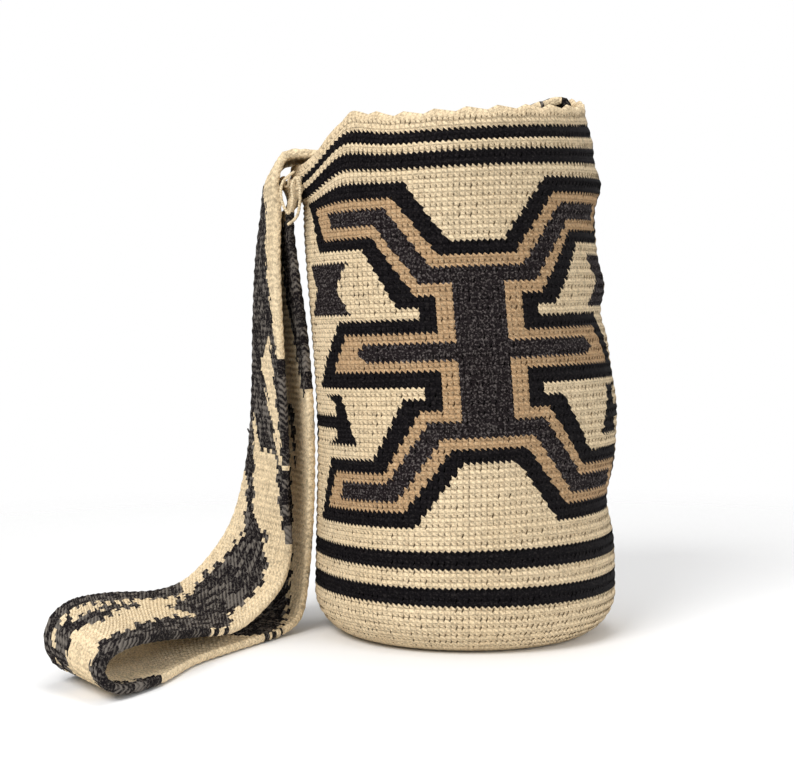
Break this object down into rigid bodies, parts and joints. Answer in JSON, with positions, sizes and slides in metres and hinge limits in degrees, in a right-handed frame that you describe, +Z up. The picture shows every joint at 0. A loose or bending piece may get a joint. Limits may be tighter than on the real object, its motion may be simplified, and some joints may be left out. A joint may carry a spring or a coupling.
{
  "type": "crocheted shoulder bag",
  "caption": "Tall round crocheted wool bag with an open mouth, a stepped geometric pattern and a wide twined shoulder band that hangs and folds on the floor beside it.",
  "frame": {"origin": "middle of the round base, on the face that rests on the floor", "axes": "+Z up through the bag, -Y towards the front with the whole main figure, -X towards the side over which the band hangs"},
  "size_m": [0.3195, 0.2969, 0.3299],
  "materials": {
    "bag_body": "matte crocheted wool in undyed cream, black, tan and dark brown",
    "shoulder_strap": "matte twined wool cord in cream and black",
    "seam_yarn": "matte cream wool yarn",
    "dark_yarn": "matte black wool yarn"
  },
  "bodies": {
    "root": {"bag_body": "bag_body", "shoulder_strap": "shoulder_strap", "left_seam_yarn": "seam_yarn", "right_seam_yarn": "seam_yarn", "loose_yarn_end": "dark_yarn"}
  },
  "joints": []
}
